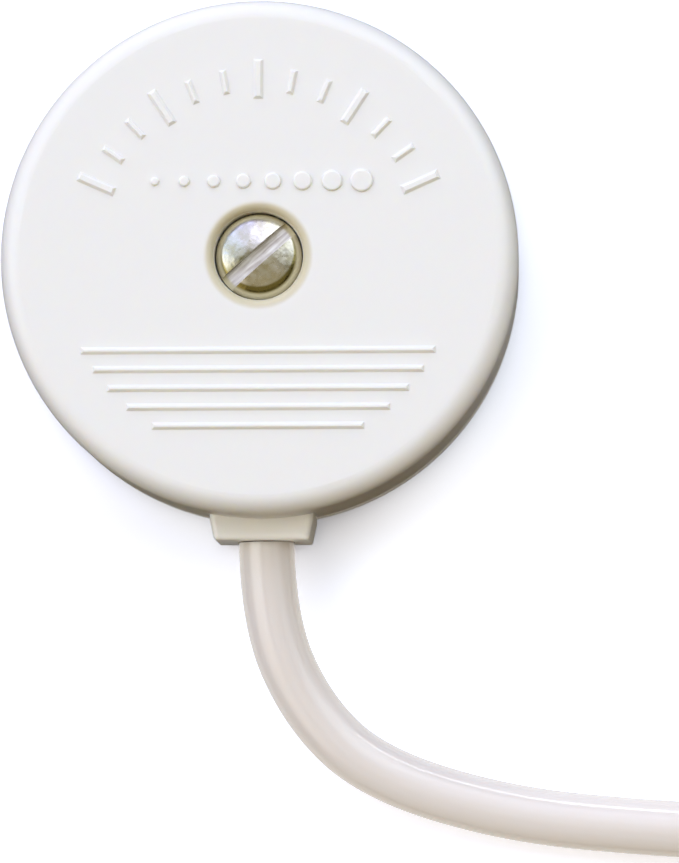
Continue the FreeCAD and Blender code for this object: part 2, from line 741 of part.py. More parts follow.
def make_contact_leaf():
    body = new_body("contact_leaf")
    plan = sketch_on(body, "leaf_plan", "XY_Plane", z_leaf)
    low = y_leaf - dim.LeafWidth / 2
    outline(plan, [
        (-x_anchor, -dim.PinLine - dim.TailEnd),
        (dim.TailWidth - x_anchor, -dim.PinLine - dim.TailEnd),
        (dim.TailWidth - x_anchor, low),
        (dim.ContactPlace + dim.WeightDiameter / 2, low),
        (dim.ContactPlace + dim.WeightDiameter / 2, low + dim.LeafWidth),
        (-x_anchor, low + dim.LeafWidth),
    ])
    circle(plan, -x_pin, -dim.PinLine, dim.PinDiameter / 2)
    circle(plan, dim.ContactPlace, y_leaf, dim.ContactStem / 2)
    for x in rivet_places():
        circle(plan, x, y_leaf, dim.RivetDiameter / 2)
    pad(body, "leaf", plan, dim.LeafThickness)
    return body


def make_leaf_rivets():
    rivets = []
    for x, name in zip(rivet_places(), ("outer", "inner")):
        shank = cylinder(f"rivet_shank_{name}", dim.RivetDiameter / 2, z_clamp_top - z_board,
                         x, y_leaf, z_board)
        foot = cylinder(f"rivet_foot_{name}", dim.RivetHead / 2, dim.RivetHeadHeight,
                        x, y_leaf, z_board - dim.RivetHeadHeight)
        head = cylinder(f"rivet_head_{name}", dim.RivetHead / 2, dim.RivetHeadHeight,
                        x, y_leaf, z_clamp_top)
        rivets.append(fuse(f"rivet_{name}", foot, shank, head))
    return group("leaf_rivets", *rivets)


def make_inertia_weight():
    body = new_body("inertia_weight")
    r_weight = dim.WeightDiameter / 2
    bore = dim.ContactStem / 2
    z_top = z_leaf_top + dim.WeightHeight
    z_bore = z_leaf_top + dim.StemInWeight
    turned = revolve(body, "weight_turned", [
        (bore, z_leaf_top),
        (r_weight, z_leaf_top),
        (r_weight, z_top),
        (ZERO, z_top),
        (ZERO, z_bore),
        (bore, z_bore),
    ])
    dress(body, "Chamfer", "weight_chamfer", turned, ring_edge(turned, r_weight, z_top),
          dim.WeightChamfer)
    place(body, dim.ContactPlace, y_leaf)
    return body


def make_moving_contact():
    body = new_body("moving_contact")
    stem = dim.ContactStem / 2
    head = dim.MovingHeadDiameter / 2
    end = z_leaf_top + dim.StemInWeight
    revolve(body, "moving_contact_turned", [
        (ZERO, z_contact),
        (head, z_contact),
        (head, z_leaf),
        (stem, z_leaf),
        (stem, end),
        (ZERO, end),
    ])
    place(body, dim.ContactPlace, y_leaf)
    return body


def make_fixed_contact():
    body = new_body("fixed_contact")
    stem = dim.ContactStem / 2
    head = dim.FixedHeadDiameter / 2
    revolve(body, "fixed_contact_turned", [
        (ZERO, z_board),
        (stem, z_board),
        (stem, z_strip_top),
        (head, z_strip_top),
        (head, z_contact),
        (ZERO, z_contact),
    ])
    place(body, dim.ContactPlace, y_leaf)
    return body


def make_fixed_strip():
    body = new_body("fixed_strip")
    plan = sketch_on(body, "strip_plan", "XY_Plane", z_board_top)
    half = dim.TailWidth / 2
    outline(plan, [
        (x_pin - half, -dim.PinLine - dim.TailEnd),
        (x_pin + half, -dim.PinLine - dim.TailEnd),
        (x_pin + half, y_leaf + half),
        (dim.ContactPlace - dim.StripEnd, y_leaf + half),
        (dim.ContactPlace - dim.StripEnd, y_leaf - half),
        (x_pin - half, y_leaf - half),
    ])
    circle(plan, x_pin, -dim.PinLine, dim.PinDiameter / 2)
    circle(plan, dim.ContactPlace, y_leaf, dim.ContactStem / 2)
    pad(body, "strip", plan, dim.StripThickness)
    return body


def make_terminal_pins():
    pins = [
        cylinder(f"pin_{name}", dim.PinDiameter / 2,
                 dim.PinBelow + dim.BoardThickness + dim.PinAbove,
                 x_pin * side, -dim.PinLine, z_board - dim.PinBelow)
        for side, name in ((-1, "left"), (1, "right"))
    ]
    return group("terminal_pins", *pins)


def make_inner_wire(name, side):
    """An insulated wire from the jacket's end, past the centre post, to its pin."""
    radius = dim.WireDiameter.value / 2
    x_start = dim.LeadShift.value + side * dim.WireSpacing.value
    start = Vector(x_start, -y_jacket_end.value, z_lead.value)
    out = start + Vector(0, dim.WireRun.value, 0)
    pin = Vector(side * x_pin.value, -dim.PinLine.value, z_wire.value)
    away = r_post.value + dim.WireClearance.value + radius
    turn = math.radians(dim.WireBend.value)
    half_way_up = (z_lead.value + z_wire.value) / 2
    bend = Vector(side * away * math.sin(turn), -away * math.cos(turn), half_way_up)
    end = pin + (bend - pin).normalize() * (dim.PinDiameter.value / 2 + dim.WireStrip.value)
    return tube(name, [start, out, bend, end], radius)


def make_solder_joints(pins, wires):
    blobs = []
    for side, wire, name in ((-1, wires[0], "left"), (1, wires[1], "right")):
        ball = doc.addObject("Part::Sphere", f"solder_ball_{name}")
        bind(ball, Radius=dim.SolderDiameter / 2)
        place(ball, x_pin * side, -dim.PinLine, z_wire)
        blobs.append(cut(f"solder_{name}", ball, pins.Links[0 if side < 0 else 1], wire))
    return group("solder_joints", *blobs)


def make_jacket_end():
    item = cylinder("jacket_end", r_lead, y_tip - y_jacket_end)
    item.Placement = FreeCAD.Placement(Vector(dim.LeadShift.value, -y_tip.value, z_lead.value),
                                       FreeCAD.Rotation(Vector(1, 0, 0), -90))
    for axis, value in zip("xyz", (dim.LeadShift, -y_tip, z_lead)):
        item.setExpression(f"Placement.Base.{axis}", value.text)
    return item


def make_inner_cable_tie():
    body = new_body("inner_cable_tie")
    plan = sketch_on(body, "tie_ring", "XZ_Plane", y_neck_inside - dim.TieWidth)
    circle(plan, dim.LeadShift, z_lead, r_tie)
    circle(plan, dim.LeadShift, z_lead, r_lead)
    pad(body, "tie_band", plan, dim.TieWidth)
    head = sketch_on(body, "tie_head_outline", "XZ_Plane", y_neck_inside - dim.TieWidth)
    half = dim.TieHead / 2
    foot = z_lead + r_lead + dim.TieThickness / 2
    rectangle(head, dim.LeadShift - half, foot, dim.LeadShift + half, foot + dim.TieHeadHeight)
    pad(body, "tie_head", head, dim.TieWidth)
    return body


def route_points():
    """The free lead's route from its exit at the neck to the start of the coil."""
    rest = r_lead.value
    return [
        Vector(dim.LeadShift.value + x, -y_tip.value + y, rest + share * (z_lead.value - rest))
        for x, y, share in LEAD_ROUTE
    ]


def coil_frame():
    """The coil's middle, and where and in which direction the lead's end leaves it."""
    start = route_points()[-1]
    mean = dim.CoilRadius.value
    lead = dim.LeadDiameter.value
    outside = mean + lead + dim.CoilSlack.value
    stub = math.sqrt(outside**2 - mean**2) + dim.CoilStubMargin.value
    middle = Vector(start.x + stub, start.y + mean + lead / 2, 0)
    leave = math.radians(dim.CoilLeaveAngle.value)
    bend = dim.CoilLeaveRadius.value
    hub = middle + Vector(math.cos(leave), math.sin(leave), 0) * (mean - bend)
    turned = leave + math.radians(dim.CoilLeaveTurn.value)
    rest = Vector(0, 0, lead / 2)
    end = hub + Vector(math.cos(turned), math.sin(turned), 0) * bend + rest
    along = Vector(-math.sin(turned), math.cos(turned), 0)
    half_way = (leave + turned) / 2
    arc = Part.Arc(
        hub + Vector(math.cos(leave), math.sin(leave), 0) * bend + rest,
        hub + Vector(math.cos(half_way), math.sin(half_way), 0) * bend + rest,
        end,
    )
    return SimpleNamespace(start=start, middle=middle, arc=arc, end=end, along=along)


def make_lead_coil(frame, tie_room):
    """The coil as one closed ring, two turns wide and two high, with the lead's straight start and
    its end, which curls into the middle."""
    lead = dim.LeadDiameter.value
    mean = dim.CoilRadius.value
    half = lead + dim.CoilSlack.value
    outside = Part.makeCylinder(mean + half, 2 * lead, frame.middle)
    inside = Part.makeCylinder(mean - half, 2 * lead, frame.middle)
    ring = outside.cut(inside)
    rims = [edge for edge in ring.Edges if isinstance(edge.Curve, Part.Circle)]
    ring = ring.makeChamfer(dim.CoilChamfer.value, rims)
    straight = Part.makeCylinder(lead / 2, frame.middle.x - frame.start.x, frame.start, Vector(1, 0, 0))
    path = Part.Wire([frame.arc.toShape()])
    begin = frame.arc.value(frame.arc.FirstParameter)
    ahead = frame.arc.tangent(frame.arc.FirstParameter)[0]
    circle_wire = Part.Wire(Part.Circle(begin, ahead, lead / 2).toShape())
    curl = path.makePipeShell([circle_wire], True, True)
    solid = ring.fuse([straight, curl]).removeSplitter().cut(tie_room)
    item = doc.addObject("Part::Feature", "lead_coil")
    item.Label = "lead_coil"
    item.Shape = solid.Solids[0]
    return item


def make_coil_tie(frame):
    """A band round the coil's bundle, with its head on the outside, and the room that it takes."""
    lead = dim.LeadDiameter.value
    mean = dim.CoilRadius.value
    thick = dim.CoilTieThickness.value
    wide = dim.CoilTieWidth.value
    head = dim.CoilTieHead.value
    half = lead + dim.CoilSlack.value
    low = Vector(mean - half - thick, -wide / 2, 0)
    band = Part.makeBox(2 * (half + thick), wide, 2 * lead + thick, low)
    room = Part.makeBox(2 * half, wide, 2 * lead - thick, Vector(mean - half, -wide / 2, thick))
    corners = [edge for edge in band.Edges if abs(edge.tangentAt(edge.FirstParameter).y) > 1 - NEARLY]
    band = band.makeFillet(thick, corners).cut(room)
    block = Part.makeBox(dim.CoilTieHeadHeight.value, head, head,
                         Vector(mean + half + thick, -head / 2, lead - head / 2))
    solid = band.fuse(block).removeSplitter()
    ring_room = band.copy()
    turn = FreeCAD.Rotation(Vector(0, 0, 1), dim.CoilTieAngle.value)
    spot = FreeCAD.Placement(frame.middle, turn)
    ring_room.Placement = spot
    item = doc.addObject("Part::Feature", "coil_tie")
    item.Label = "coil_tie"
    item.Shape = solid.Solids[0]
    item.Placement = spot
    return item, ring_room


def tail_points(frame, steps):
    across = Vector(-frame.along.y, frame.along.x, 0)
    low = dim.WireDiameter.value / 2
    return [
        Vector(frame.end.x, frame.end.y, frame.end.z if raised else low)
        + frame.along * ahead
        + across * (side * dim.WireSpacing.value)
        for ahead, side, raised in steps
    ]


def make_tail_tips(tails):
    """The stripped copper ends, straight on from their wires."""
    tips = []
    for name, points in tails:
        ahead = points[-1] - points[-2]
        tip = doc.addObject("Part::Feature", f"tip_{name}")
        tip.Shape = Part.makeCylinder(dim.TipDiameter.value / 2, dim.TipLength.value, points[-1], ahead)
        print(f"tip_{name}: starts at {points[-1]}, points along {ahead.normalize()}")
        tips.append(tip)
    return group("tail_tips", *tips)


def build():
    parts = [
        make_base(),
        make_cover(),
        make_cover_screw(),
        make_threaded_insert(),
        make_adhesive_pad(),
        make_contact_board(),
        make_board_screws(),
        make_leaf_spacer(),
        make_leaf_clamp(),
        make_contact_leaf(),
        make_leaf_rivets(),
        make_inertia_weight(),
        make_moving_contact(),
        make_fixed_contact(),
        make_fixed_strip(),
        make_jacket_end(),
        make_inner_cable_tie(),
    ]
    pins = make_terminal_pins()
    wires = [make_inner_wire("inner_wire_red", -1), make_inner_wire("inner_wire_black", 1)]
    parts += [pins, *wires, make_solder_joints(pins, wires)]

    parts.append(tube("lead_cable", route_points(), r_lead.value))
    frame = coil_frame()
    tie, tie_room = make_coil_tie(frame)
    parts += [tie, make_lead_coil(frame, tie_room)]
    tails = [("red", tail_points(frame, RED_TAIL)), ("black", tail_points(frame, BLACK_TAIL))]
    parts += [tube(f"tail_{name}", points, dim.WireDiameter.value / 2) for name, points in tails]
    parts.append(make_tail_tips(tails))
    doc.recompute()
    return parts


def check(parts):
    for item in doc.Objects:
        if "Invalid" in item.State or "Error" in item.State:
            raise RuntimeError(f"{item.Name} didn't build: {item.State}")
    for part in parts:
        if part.Shape.isNull() or not part.Shape.isValid() or not part.Shape.Solids:
            raise RuntimeError(f"{part.Label} has no valid solid")


parts = build()
check(parts)
os.makedirs("parts", exist_ok=True)
for part in parts:
    part.Shape.exportStep(f"parts/{part.Label}.step")
print(len(parts), "nodes")
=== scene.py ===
"""The looks of a stick-on glass break sensor: its moulded housing, its screw and its lead."""

import math

import bmesh
import bpy
from mathutils import Matrix, Vector


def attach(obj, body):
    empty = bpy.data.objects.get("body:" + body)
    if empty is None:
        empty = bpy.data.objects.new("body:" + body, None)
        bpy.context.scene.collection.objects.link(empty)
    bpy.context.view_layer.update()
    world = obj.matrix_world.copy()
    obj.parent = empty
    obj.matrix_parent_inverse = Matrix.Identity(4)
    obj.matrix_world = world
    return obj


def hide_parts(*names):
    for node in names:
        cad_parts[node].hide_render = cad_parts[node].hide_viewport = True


MM = 0.001

# The lead, as its route in CAD, moved within its own thickness to lie as in the photograph
LEAD_DIAMETER = 4.5
LEAD_REST = LEAD_DIAMETER / 2
LEAD_EXIT = (0.25, -22.3, 4.4)
LEAD_ROUTE = [
    LEAD_EXIT,
    (0.35, -28.6, 4.2),
    (3.45, -35.8, 2.9),
    (8.65, -40.8, LEAD_REST),
    (19.2, -44.1, LEAD_REST),
    (30.8, -45.3, LEAD_REST),
    (41.0, -45.7, LEAD_REST),
    (48.0, -45.6, LEAD_REST),
]

# The put-away coil: four turns, two wide and two high, in degrees round its middle
COIL_MIDDLE = (63.76, -20.85)
COIL_OUTER = 24.75
COIL_INNER = 20.2
COIL_STEP = 15
COIL_START = -90
COIL_END = 1080 + 55
COIL_RISE = (195, 240)
COIL_CROSS_IN = (510, 548)
COIL_DROP = (825, 868)
TIE_ANGLE = 38
TIE_LIFT = 0.65
TIE_LIFT_SPAN = (8, 40)

# The lead's end turns into the coil's middle, as steps from that middle
COIL_TAIL = [(6.84, 18.8), (1.68, 19.23), (-3.6, 17.9), (-7.4, 14.9), (-9.4, 11.2), (-9.75, 8.56)]
JACKET_END = (54.01, -13.49)
JACKET_WALL = 0.45
JACKET_EDGE = 0.09
JACKET_MOUTH = 1.2
MOUTH_CORNERS = 40

# The two wires beyond the jacket, and the twist of their stripped ends
WIRE_DIAMETER = 1.7
WIRE_REST = WIRE_DIAMETER / 2
RED_ROUTE = [
    (54.91, -12.6, LEAD_REST),
    (54.91, -17.09, LEAD_REST),
    (56.71, -21.99, WIRE_REST),
    (60.85, -25.09, WIRE_REST),
    (65.891, -26.089, WIRE_REST),
]
BLACK_ROUTE = [
    (53.11, -12.6, LEAD_REST),
    (53.11, -17.69, LEAD_REST),
    (53.65, -23.39, WIRE_REST),
    (55.81, -28.39, WIRE_REST),
    (60.131, -31.189, WIRE_REST),
]
TIP_LENGTH = 7.0
TIP_DIAMETER = 0.8
STRANDS_ROUND = 6
STRAND_LAY = 8.0
STRAND_STEPS = 28

# The coil's tie, which hugs the bundle of four turns. Its cut end shows the teeth: the step from one
# to the next, and the share of the strap's thickness that is left between two.
STRAP_WIDTH = 3.6
STRAP_THICKNESS = 0.6
STRAP_EDGE = 0.12
STRAP_BENDS = 8
STRAP_TAIL = 1.1
TOOTH = 0.35
TOOTH_ROOT = 0.4
TIE_HEAD = (3.0, 5.0, 5.0)
TIE_SLOT = (3.9, 1.5)
TIE_SLOT_DEPTH = 2.4
TIE_HEAD_EDGE = 0.3

# The camera, from the outlines of the face, the foot and the neck: its place in millimetres, its turn
# in radians, its focal length and the image's height in pixels, its sensor's height in millimetres
CAMERA_PLACE = (20.84, -46.23, 371.4)
CAMERA_TURN = (0.08926, 0.04012, -0.0005)
FOCAL_PIXELS = 4565
FRAME_HEIGHT = 863
SENSOR_HEIGHT = 24.0

# The studio. Each soft glow of the sky: its tilt from overhead, its turn from +X and its reach, in
# degrees, and its light. Most comes from behind and from the sides, and next to none from the front.
SKY_GLOWS = [
    (18, 290, 30, (0.60, 0.53, 0.36)),
    (30, 95, 35, (1.08, 1.09, 1.15)),
    (50, 40, 36, (2.50, 2.72, 2.86)),
    (50, 120, 36, (0.28, 0.28, 1.05)),
    (50, 160, 36, (1.00, 1.32, 1.62)),
    (50, 200, 36, (2.25, 2.00, 1.62)),
    (75, 320, 36, (0.50, 0.30, 0.05)),
    (88, 110, 40, (1.20, 1.20, 1.20)),
]

# The lamps, each with its tilt, turn, width, height and light. A low, wide one behind lights all, one
# beside it draws a line of light along the lead, and a high one makes a glint in the screw's head.
# Three weak ones, for the lead and the neck, stand for what the white floor throws back: the cover
# goes without, so that its wall stays dark. Sizes and distances in the studio are in metres.
LAMP_BEHIND = (74, 105, 1.1, 0.17, (2.70, 2.70, 2.85))
LINE_LAMP = (74, 70, 1.1, 0.15, (4.60, 4.60, 4.90))
GLINT_LAMP = (27.5, 84, 0.42, 0.30, (1.60, 1.70, 2.60))
LAMP_BELOW = (180, 0, 6.0, 6.0, (0.95, 0.94, 0.92))
LAMP_IN_FRONT = (70, 275, 2.4, 1.4, (0.56, 0.56, 0.55))
LAMP_BESIDE = (80, 40, 2.2, 1.2, (0.24, 0.24, 0.24))
LAMP_DISTANCE = 1.2

# The floor is lit beyond white, so that only the deeper shadow shows on it
FLOOR_WHITE = (1.28, 1.30, 1.42, 1.0)
FLOOR_GLOW = (0.14, 0.15, 0.18, 1.0)
FLOOR_SIZE = 4
BACKDROP_RADIUS = 1.9

# Nearly all of a noise pattern's values lie between these two
NOISE_LOW = 0.3
NOISE_HIGH = 0.7

# Painted shade round the screw, from one radius to the other: a tan ring on the recess's lip, and a dull
# tan on the head's rounding in place of its reflection
LIP_PAINTED_SHADE = [(3.5, 3.65), (4.45, 3.95)]
HEAD_PAINTED_SHADE = [(2.85, 3.15), (3.9, 3.6)]

# The sawn slot in the screw's head: the heights between which its floor's finish fades in
SLOT_FLOOR = [(11.4, 11.35)]
SLOT_ANGLE = 41.4

# Painted shade on the screw's head: a dark crescent outside a circle about the first point, standing
# in for the dark reflection at the head's lower edge, and a dark band beside the slot, across it and
# along it, standing in for the shade of the slot's edge
CRESCENT_MIDDLE = (-0.08, 0.44)
CRESCENT = [(2.78, 2.98)]
SLOT_SHADE_ACROSS = [(0.0, 0.4), (1.15, 0.7)]
SLOT_SHADE_ALONG = [(0.7, -0.5)]


def linear(code):
    """An sRGB hex colour as linear red, green, blue and alpha."""
    parts = [int(code[k:k + 2], 16) / 255 for k in (1, 3, 5)]
    return [p / 12.92 if p <= 0.04045 else ((p + 0.055) / 1.055) ** 2.4 for p in parts] + [1.0]


def new_material(name):
    material = bpy.data.materials.new(name)
    material.use_nodes = True
    material.node_tree.nodes.clear()
    return material


def add(tree, kind, settings=None, inputs=None):
    """Adds a node, sets its properties and fills or links its sockets."""
    node = tree.nodes.new(kind)
    for name, value in (settings or {}).items():
        setattr(node, name, value)
    for name, value in (inputs or {}).items():
        socket = node.inputs[name]
        if isinstance(value, bpy.types.NodeSocket):
            tree.links.new(value, socket)
        else:
            socket.default_value = value
    return node


def finish_surface(tree, inputs):
    shader = add(tree, "ShaderNodeBsdfPrincipled", inputs=inputs)
    add(tree, "ShaderNodeOutputMaterial", inputs={"Surface": shader.outputs["BSDF"]})


def object_place(tree):
    """Where a point of the surface lies, from the object's own origin."""
    return add(tree, "ShaderNodeTexCoord").outputs["Object"]


def noise(tree, size, stretch=(1, 1, 1), detail=3.0, place=None):
    """Soft random patches of that size in millimetres, squeezed along the axes by the stretch."""
    squeezed = add(tree, "ShaderNodeMapping", inputs={
        "Vector": place or object_place(tree), "Scale": stretch})
    patches = add(tree, "ShaderNodeTexNoise", inputs={
        "Vector": squeezed.outputs["Vector"], "Scale": 1 / (size * MM), "Detail": detail})
    return patches.outputs["Fac"]


def relief(tree, height, depth):
    """The normal of a surface with hollows of that depth in millimetres."""
    bump = add(tree, "ShaderNodeBump", inputs={
        "Height": height, "Strength": 1.0, "Distance": depth * MM})
    return bump.outputs["Normal"]


def between(tree, share, low, high):
    """A value that runs from low to high with the share."""
    spread = add(tree, "ShaderNodeMapRange", inputs={
        "Value": share, "From Min": NOISE_LOW, "From Max": NOISE_HIGH, "To Min": low, "To Max": high})
    return spread.outputs["Result"]


def mottle(tree, share, dark, light):
    """A colour that runs from dark to light with the share."""
    ramp = add(tree, "ShaderNodeValToRGB", inputs={"Fac": share})
    first, last = ramp.color_ramp.elements
    first.position, first.color = NOISE_LOW, linear(dark)
    last.position, last.color = NOISE_HIGH, linear(light)
    return ramp.outputs["Color"]


def blend(tree, kind, share, low, high):
    """A colour ("RGBA") or a value ("FLOAT") between low and high."""
    return add(tree, "ShaderNodeMix", {"data_type": kind}, {
        "Factor": share, "A": low, "B": high}).outputs["Result"]


def from_axis(tree, middle=(0, 0)):
    """How far a point lies from an upright line, at first the screw's axis."""
    across = add(tree, "ShaderNodeVectorMath", {"operation": "MULTIPLY_ADD"}, {
        0: object_place(tree), 1: (1, 1, 0), 2: (-middle[0] * MM, -middle[1] * MM, 0)})
    return add(tree, "ShaderNodeVectorMath", {"operation": "LENGTH"}, {
        0: across.outputs["Vector"]}).outputs["Value"]


def within(tree, value, edges, share=1.0):
    """The share where a value lies inside all of its edges, each of them from none to full."""
    for none, full in edges:
        step = add(tree, "ShaderNodeMapRange", {"interpolation_type": "SMOOTHSTEP"}, {
            "Value": value, "From Min": none * MM, "From Max": full * MM, "To Max": share})
        share = step.outputs["Result"]
    return share


def moulded_abs():
    """Moulded ABS: an even warm white, satin, with the faint grain of the mould's eroded skin.

    The grain is drawn coarser than it is, so that it shows at all. Light sinks in by some tenths of
    a millimetre, which softens the raised marks. The lip round the screw is painted a light tan,
    as painted shade of the recess.
    """
    material = new_material("moulded_abs")
    tree = material.node_tree
    # Painted shade: the lip of the screw's recess is tinted tan where the recess is shaded
    painted_shade = within(tree, from_axis(tree), LIP_PAINTED_SHADE)
    finish_surface(tree, {
        "Base Color": blend(tree, "RGBA", painted_shade, linear("#EDEBE6"), linear("#D2C9AC")),
        "IOR": 1.53, "Roughness": 0.38,
        "Subsurface Weight": 0.4, "Subsurface Radius": (1.0, 0.8, 0.5), "Subsurface Scale": 0.6 * MM,
        "Normal": relief(tree, noise(tree, 0.25), 0.0015)})
    return material


def soft_pvc(name, colour):
    """Soft PVC: light sinks in by a millimetre or two, so that round cords look flat and waxy."""
    material = new_material(name)
    tree = material.node_tree
    finish_surface(tree, {
        "Base Color": linear(colour), "IOR": 1.54, "Roughness": 0.12,
        "Subsurface Weight": 0.6, "Subsurface Radius": (1.0, 0.85, 0.75), "Subsurface Scale": 1.2 * MM,
        "Normal": relief(tree, noise(tree, 1.4), 0.006)})
    return material


def zinc_steel():
    """Zinc plated steel, cold headed: silver under a thin yellow passivation, blotchy and half dull.

    The slot's floor is duller and brighter, scored along by the saw, with the scores drawn wider
    than they are. Painted shade darkens the head in a crescent below and in a band beside the slot,
    and the head's rounding is painted a dull tan, as painted shade of the recess.
    """
    material = new_material("zinc_plated_steel")
    tree = material.node_tree
    place = object_place(tree)
    height = add(tree, "ShaderNodeSeparateXYZ", inputs={"Vector": place}).outputs["Z"]
    sawn = within(tree, height, SLOT_FLOOR)
    # Painted shade: the head's rounding turns a dull, unmetallic tan like the shaded recess, in place of
    # its reflection
    painted_shade = within(tree, from_axis(tree), HEAD_PAINTED_SHADE)
    turned = add(tree, "ShaderNodeMapping", inputs={
        "Vector": place, "Rotation": (0, 0, -math.radians(SLOT_ANGLE))}).outputs["Vector"]
    scores = noise(tree, 0.25, stretch=(0.12, 1, 1), detail=2.0, place=turned)
    spot = add(tree, "ShaderNodeSeparateXYZ", inputs={"Vector": turned})
    # Painted shade: a dark band along the slot's upper edge
    slot_shade = between(tree, noise(tree, 0.5), 0.4, 1.0)
    slot_shade = within(tree, spot.outputs["Y"], SLOT_SHADE_ACROSS, slot_shade)
    slot_shade = within(tree, spot.outputs["X"], SLOT_SHADE_ALONG, slot_shade)
    # Painted shade: a dark crescent at the head's lower edge, where the metal would reflect dark
    crescent = within(tree, from_axis(tree, CRESCENT_MIDDLE), CRESCENT)
    painted_shade_marks = add(tree, "ShaderNodeMath", {"operation": "MAXIMUM"}, {
        0: slot_shade, 1: crescent}).outputs["Value"]
    zinc = mottle(tree, noise(tree, 1.1), "#ACA588", "#CCC9BF")
    # The painted shade darkens the plating to a dark olive
    plated = blend(tree, "RGBA", painted_shade_marks, zinc, linear("#7A7040"))
    cut = mottle(tree, scores, "#BDB5AE", "#F0EEEA")
    bare = blend(tree, "RGBA", sawn, plated, cut)
    shine = blend(tree, "FLOAT", sawn, between(tree, noise(tree, 0.6), 0.2, 0.34), 0.5)
    finish_surface(tree, {
        # The painted shade's dull tan on the head's rounding
        "Base Color": blend(tree, "RGBA", painted_shade, bare, linear("#C9C09C")),
        "Metallic": blend(tree, "FLOAT", painted_shade, 1.0, 0.0),
        "Roughness": blend(tree, "FLOAT", painted_shade, shine, 0.7),
        "Normal": relief(tree, noise(tree, 0.9, detail=2.0), 0.05)})
    return material


def turned_brass():
    """Turned brass: yellow metal with fine scores from the tool, drawn coarser so that they show."""
    material = new_material("turned_brass")
    tree = material.node_tree
    finish_surface(tree, {
        "Base Color": linear("#D9B66A"), "Metallic": 1.0,
        "Roughness": between(tree, noise(tree, 0.5), 0.2, 0.34),
        "Normal": relief(tree, noise(tree, 0.2, stretch=(0.1, 0.1, 1)), 0.004)})
    return material


def foam_tape():
    """Closed-cell foam tape: matt grey white, pitted by the bubbles that the knife has opened."""
    material = new_material("foam_tape")
    tree = material.node_tree
    cells = add(tree, "ShaderNodeTexVoronoi", inputs={
        "Vector": object_place(tree), "Scale": 1 / (0.35 * MM)}).outputs["Distance"]
    finish_surface(tree, {
        "Base Color": mottle(tree, cells, "#C9C8C2", "#E4E3DE"),
        "IOR": 1.5, "Roughness": 0.75, "Normal": relief(tree, cells, 0.05)})
    return material


def phenolic_board():
    """Phenolic paper laminate: brown, with the paper's cloudy fibres under a dull gloss."""
    material = new_material("phenolic_board")
    tree = material.node_tree
    finish_surface(tree, {
        "Base Color": mottle(tree, noise(tree, 1.2, stretch=(1, 0.3, 1)), "#7A4C26", "#94612F"),
        "IOR": 1.55, "Roughness": 0.42})
    return material


def phosphor_bronze():
    """Rolled phosphor bronze: reddish gold, with the rolls' long streaks, drawn wider than they are."""
    material = new_material("phosphor_bronze")
    tree = material.node_tree
    streaks = noise(tree, 0.4, stretch=(0.08, 1, 1))
    finish_surface(tree, {
        "Base Color": mottle(tree, streaks, "#B98B58", "#CE9F69"), "Metallic": 1.0,
        "Roughness": between(tree, streaks, 0.22, 0.34)})
    return material


def tinned_metal():
    """Tin and silver on contacts, pins and solder: a white metal with soft, runny reflections."""
    material = new_material("tinned_metal")
    tree = material.node_tree
    finish_surface(tree, {
        "Base Color": linear("#D8D8D6"), "Metallic": 1.0,
        "Roughness": between(tree, noise(tree, 0.8), 0.18, 0.32),
        "Normal": relief(tree, noise(tree, 1.0), 0.03)})
    return material


def nylon():
    """Natural nylon: milky, because light passes a little way through it."""
    material = new_material("nylon")
    tree = material.node_tree
    finish_surface(tree, {
        "Base Color": linear("#E8E6DE"), "IOR": 1.53, "Roughness": 0.4,
        "Subsurface Weight": 0.4, "Subsurface Radius": (1.0, 0.95, 0.85), "Subsurface Scale": 1.5 * MM,
        "Normal": relief(tree, noise(tree, 0.8), 0.006)})
    return material


def bare_copper():
    """Stripped copper strands: pink metal, a little dulled by handling."""
    material = new_material("bare_copper")
    tree = material.node_tree
    finish_surface(tree, {
        "Base Color": mottle(tree, noise(tree, 0.7), "#C4764F", "#E09A72"), "Metallic": 1.0,
        "Roughness": 0.3})
    return material


def coil_points():
    """The turns as control points of the lead's own spline, in millimetres."""
    def eased(angle, span):
        share = min(1, max(0, (angle - span[0]) / (span[1] - span[0])))
        return share * share * (3 - 2 * share)

    outward = 1 / math.cos(math.radians(COIL_STEP / 2))
    points = []
    angle = COIL_START + COIL_STEP / 2
    while angle <= COIL_END:
        radius = COIL_OUTER + (COIL_INNER - COIL_OUTER) * eased(angle, COIL_CROSS_IN)
        from_tie = abs((angle - TIE_ANGLE + 180) % 360 - 180)
        height = LEAD_REST + LEAD_DIAMETER * (eased(angle, COIL_RISE) - eased(angle, COIL_DROP))
        height += TIE_LIFT * (1 - eased(from_tie, TIE_LIFT_SPAN))
        turn = math.radians(angle)
        points.append((COIL_MIDDLE[0] + outward * radius * math.cos(turn),
                       COIL_MIDDLE[1] + outward * radius * math.sin(turn), height))
        angle += COIL_STEP
    points += [(COIL_MIDDLE[0] + x, COIL_MIDDLE[1] + y, LEAD_REST) for x, y in COIL_TAIL]
    return points


def spline_piece(name, routes, diameter, material, roundness=10, steps=16):
    """Round cords, each on one smooth spline whose bends are set by its control points."""
    curve = bpy.data.curves.new(name, "CURVE")
    curve.dimensions = "3D"
    curve.bevel_depth = diameter / 2 * MM
    curve.bevel_resolution = roundness
    curve.resolution_u = steps
    curve.use_fill_caps = True
    for points in routes:
        spline = curve.splines.new("NURBS")
        spline.points.add(len(points) - 1)
        for point, place in zip(spline.points, points):
            point.co = (*[value * MM for value in place], 1)
        spline.order_u = 3
        spline.use_endpoint_u = True
    curve.materials.append(material)
    piece = bpy.data.objects.new(name, curve)
    bpy.context.scene.collection.objects.link(piece)
    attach(piece, "root")
    return piece


